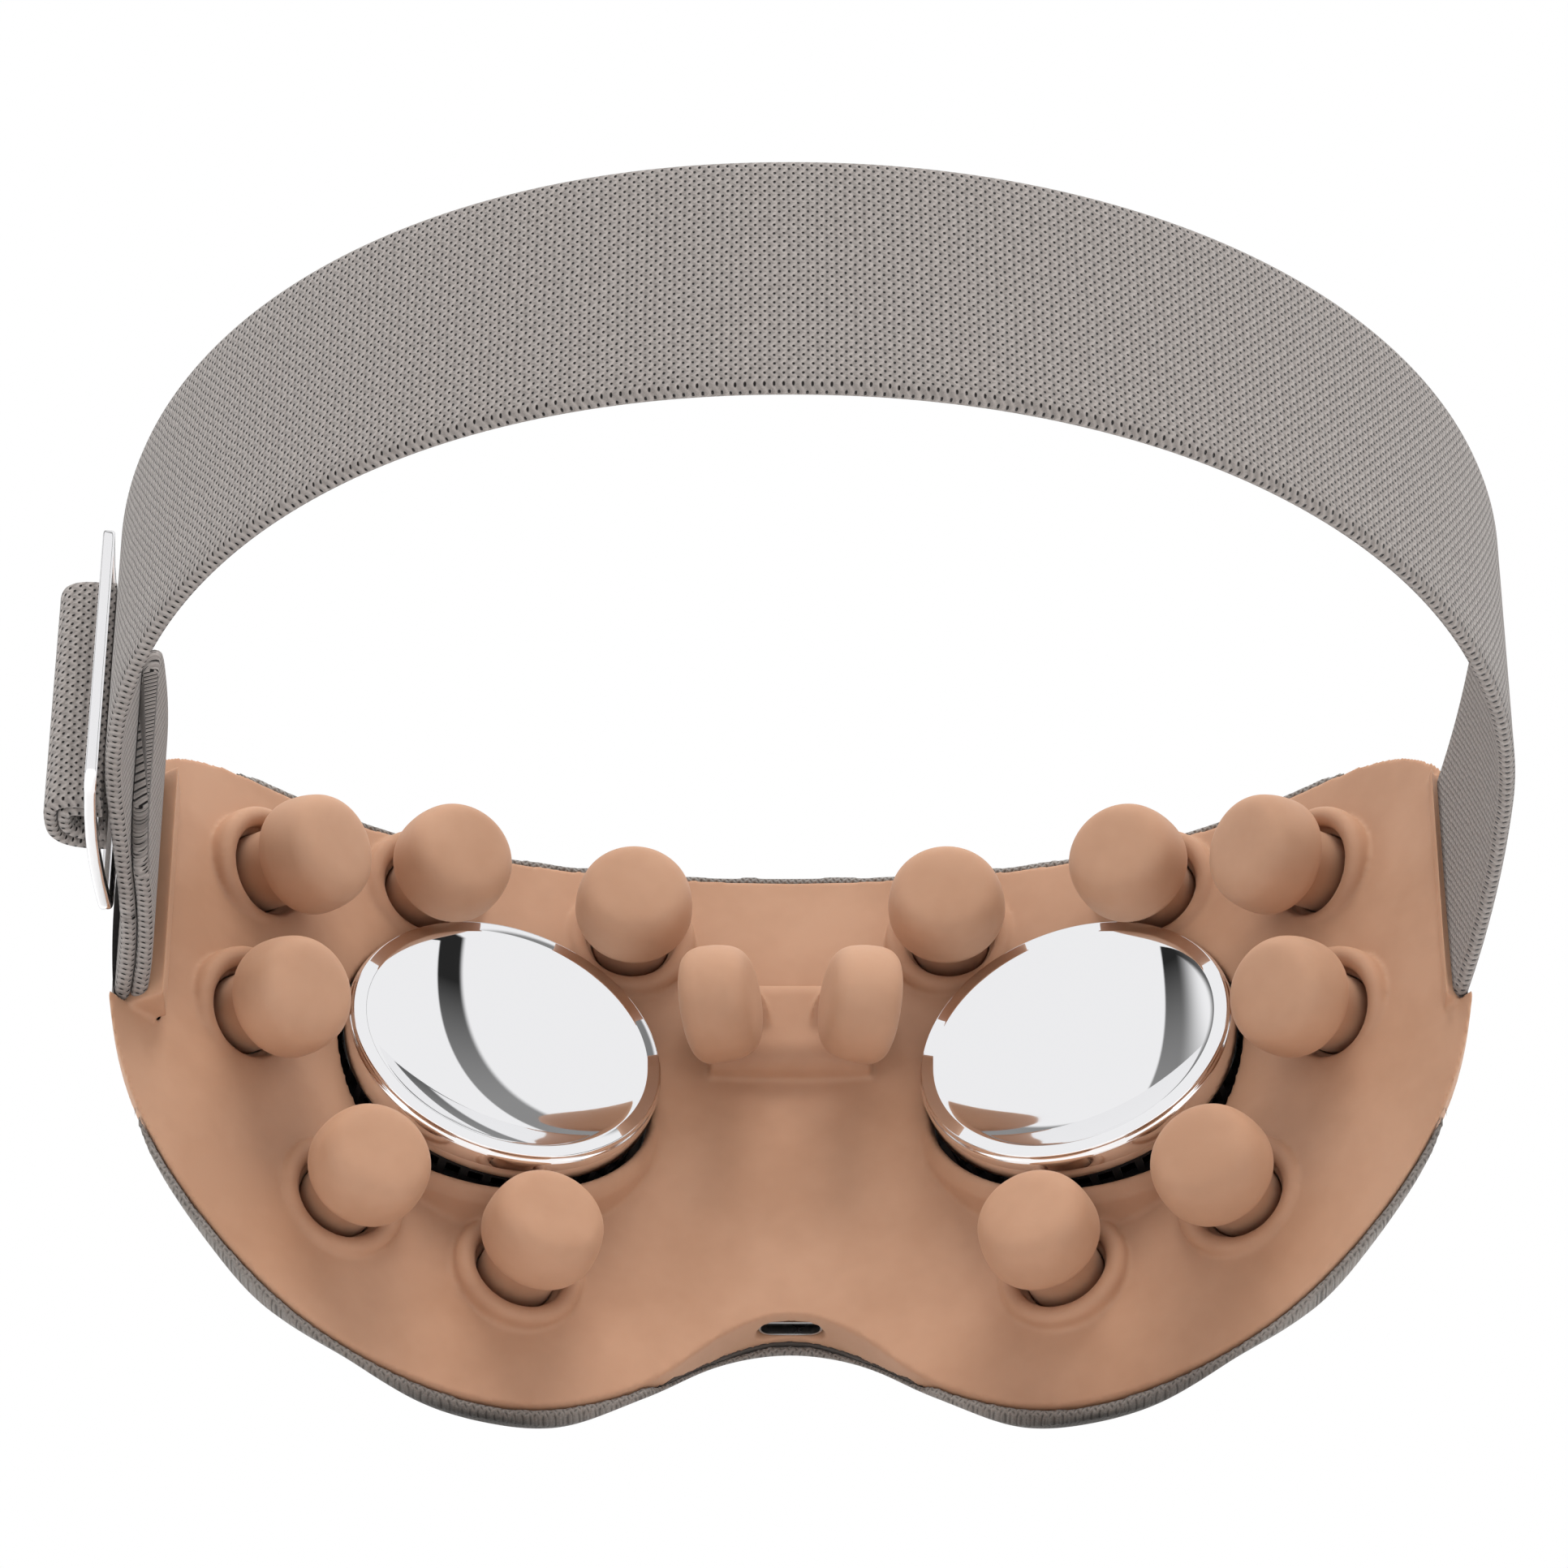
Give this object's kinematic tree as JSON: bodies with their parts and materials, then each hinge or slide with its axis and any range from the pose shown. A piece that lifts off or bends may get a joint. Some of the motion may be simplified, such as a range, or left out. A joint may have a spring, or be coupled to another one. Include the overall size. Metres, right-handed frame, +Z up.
{
  "type": "eye massager mask",
  "caption": "Wearable eye massager: curved soft-lined mask with mushroom massage nodes, two mirror eye discs, woven head band and slide buckle.",
  "frame": {"origin": "middle of the flat control plate on the front of the mask", "axes": "+Y forward out of the wearer's face, normal to the control plate; +Z up; +X across the face, away from the buckle"},
  "size_m": [0.1932, 0.2061, 0.0971],
  "materials": {
    "silicone": "matte tan silicone",
    "woven_strap": "grey woven elastic",
    "knit_fabric": "grey knitted cover",
    "polished_metal": "mirror polish",
    "white_plastic": "moulded",
    "dark_plastic": "moulded",
    "black_plastic": "moulded",
    "shell_plastic": "moulded",
    "plate_plastic": "satin",
    "button_plastic": "satin",
    "ceramic_tile": "ceramic white",
    "bare_aluminium": "extruded",
    "board_green": "solder mask",
    "battery_wrap": "shrink wrap",
    "plain_steel": "plain"
  },
  "bodies": {
    "mask": {"face_pad": "silicone", "inner_frame": "white_plastic", "front_shell": "shell_plastic", "fabric_cover": "knit_fabric", "control_plate": "plate_plastic", "button_switch": "black_plastic", "main_board": "board_green", "battery": "battery_wrap", "usb_port_shell": "plain_steel", "usb_port_tongue": "black_plastic", "frame_screws": "plain_steel", "eye_cup_left": "polished_metal", "vent_ring_left": "black_plastic", "cooling_tile_left": "ceramic_tile", "heat_sink_left": "bare_aluminium", "fan_frame_left": "black_plastic", "node_actuators_left": "dark_plastic", "strap_anchor_left": "dark_plastic", "eye_cup_right": "polished_metal", "vent_ring_right": "black_plastic", "cooling_tile_right": "ceramic_tile", "heat_sink_right": "bare_aluminium", "fan_frame_right": "black_plastic", "node_actuators_right": "dark_plastic", "strap_anchor_right": "dark_plastic"},
    "band": {"head_band": "woven_strap", "anchor_strap": "woven_strap"},
    "slider": {"slider_buckle": "polished_metal", "strap_loop": "woven_strap"},
    "button": {"power_button": "button_plastic"},
    "node_brow_inner_left": {"node_cap_brow_inner_left": "silicone", "node_rod_brow_inner_left": "white_plastic"},
    "node_brow_outer_left": {"node_cap_brow_outer_left": "silicone", "node_rod_brow_outer_left": "white_plastic"},
    "node_temple_upper_left": {"node_cap_temple_upper_left": "silicone", "node_rod_temple_upper_left": "white_plastic"},
    "node_temple_lower_left": {"node_cap_temple_lower_left": "silicone", "node_rod_temple_lower_left": "white_plastic"},
    "node_cheek_outer_left": {"node_cap_cheek_outer_left": "silicone", "node_rod_cheek_outer_left": "white_plastic"},
    "node_cheek_inner_left": {"node_cap_cheek_inner_left": "silicone", "node_rod_cheek_inner_left": "white_plastic"},
    "node_nose_left": {"node_cap_nose_left": "silicone", "node_rod_nose_left": "white_plastic"},
    "fan_left": {"fan_rotor_left": "black_plastic"},
    "node_brow_inner_right": {"node_cap_brow_inner_right": "silicone", "node_rod_brow_inner_right": "white_plastic"},
    "node_brow_outer_right": {"node_cap_brow_outer_right": "silicone", "node_rod_brow_outer_right": "white_plastic"},
    "node_temple_upper_right": {"node_cap_temple_upper_right": "silicone", "node_rod_temple_upper_right": "white_plastic"},
    "node_temple_lower_right": {"node_cap_temple_lower_right": "silicone", "node_rod_temple_lower_right": "white_plastic"},
    "node_cheek_outer_right": {"node_cap_cheek_outer_right": "silicone", "node_rod_cheek_outer_right": "white_plastic"},
    "node_cheek_inner_right": {"node_cap_cheek_inner_right": "silicone", "node_rod_cheek_inner_right": "white_plastic"},
    "node_nose_right": {"node_cap_nose_right": "silicone", "node_rod_nose_right": "white_plastic"},
    "fan_right": {"fan_rotor_right": "black_plastic"}
  },
  "joints": [
    {"name": "press_brow_inner_left", "type": "slide", "parent": "mask", "child": "node_brow_inner_left", "axis": [0.0694, -0.9921, -0.1045], "range_m": [-0.0015, 0.0025], "stiffness_N_per_m": 300},
    {"name": "press_brow_outer_left", "type": "slide", "parent": "mask", "child": "node_brow_outer_left", "axis": [0.4484, -0.88, -0.1564], "range_m": [-0.0015, 0.0025], "stiffness_N_per_m": 300},
    {"name": "press_temple_upper_left", "type": "slide", "parent": "mask", "child": "node_temple_upper_left", "axis": [0.7544, -0.633, -0.1736], "range_m": [-0.0015, 0.0025], "stiffness_N_per_m": 300},
    {"name": "press_temple_lower_left", "type": "slide", "parent": "mask", "child": "node_temple_lower_left", "axis": [0.6617, -0.7096, -0.2419], "range_m": [-0.0015, 0.0025], "stiffness_N_per_m": 300},
    {"name": "press_cheek_outer_left", "type": "slide", "parent": "mask", "child": "node_cheek_outer_left", "axis": [0.4523, -0.8876, -0.0872], "range_m": [-0.0015, 0.0025], "stiffness_N_per_m": 300},
    {"name": "press_cheek_inner_left", "type": "slide", "parent": "mask", "child": "node_cheek_inner_left", "axis": [0.3741, -0.9259, 0.0523], "range_m": [-0.0015, 0.0025], "stiffness_N_per_m": 300},
    {"name": "press_nose_left", "type": "slide", "parent": "mask", "child": "node_nose_left", "axis": [0, -0.9063, -0.4226], "range_m": [-0.0015, 0.0025], "stiffness_N_per_m": 300},
    {"name": "press_brow_inner_right", "type": "slide", "parent": "mask", "child": "node_brow_inner_right", "axis": [-0.0694, -0.9921, -0.1045], "range_m": [-0.0015, 0.0025], "stiffness_N_per_m": 300},
    {"name": "press_brow_outer_right", "type": "slide", "parent": "mask", "child": "node_brow_outer_right", "axis": [-0.4484, -0.88, -0.1564], "range_m": [-0.0015, 0.0025], "stiffness_N_per_m": 300},
    {"name": "press_temple_upper_right", "type": "slide", "parent": "mask", "child": "node_temple_upper_right", "axis": [-0.7544, -0.633, -0.1736], "range_m": [-0.0015, 0.0025], "stiffness_N_per_m": 300},
    {"name": "press_temple_lower_right", "type": "slide", "parent": "mask", "child": "node_temple_lower_right", "axis": [-0.6617, -0.7096, -0.2419], "range_m": [-0.0015, 0.0025], "stiffness_N_per_m": 300},
    {"name": "press_cheek_outer_right", "type": "slide", "parent": "mask", "child": "node_cheek_outer_right", "axis": [-0.4523, -0.8876, -0.0872], "range_m": [-0.0015, 0.0025], "stiffness_N_per_m": 300},
    {"name": "press_cheek_inner_right", "type": "slide", "parent": "mask", "child": "node_cheek_inner_right", "axis": [-0.3741, -0.9259, 0.0523], "range_m": [-0.0015, 0.0025], "stiffness_N_per_m": 300},
    {"name": "press_nose_right", "type": "slide", "parent": "mask", "child": "node_nose_right", "axis": [0, -0.9063, -0.4226], "range_m": [-0.0015, 0.0025], "stiffness_N_per_m": 300},
    {"name": "fan_spin_left", "type": "hinge", "parent": "mask", "child": "fan_left", "pos_m": [-0.04687, -0.03133, 0.00074], "axis": [0.3164, -0.9348, 0.1616], "continuous": true},
    {"name": "fan_spin_right", "type": "hinge", "parent": "mask", "child": "fan_right", "pos_m": [0.04687, -0.03133, 0.00074], "axis": [-0.3164, -0.9348, 0.1616], "continuous": true},
    {"name": "power_press", "type": "slide", "parent": "mask", "child": "button", "axis": [0, -1, 0], "range_m": [0, 0.0008], "stiffness_N_per_m": 600},
    {"name": "band_swing", "type": "hinge", "parent": "mask", "child": "band", "pos_m": [0, -0.082, 0.01], "axis": [1, 0, 0], "range_deg": [-12, 12], "stiffness_Nm_per_rad": 0.25},
    {"name": "buckle_slide", "type": "slide", "parent": "band", "child": "slider", "axis": [0, -1, 0], "range_m": [0, 0.008]}
  ]
}
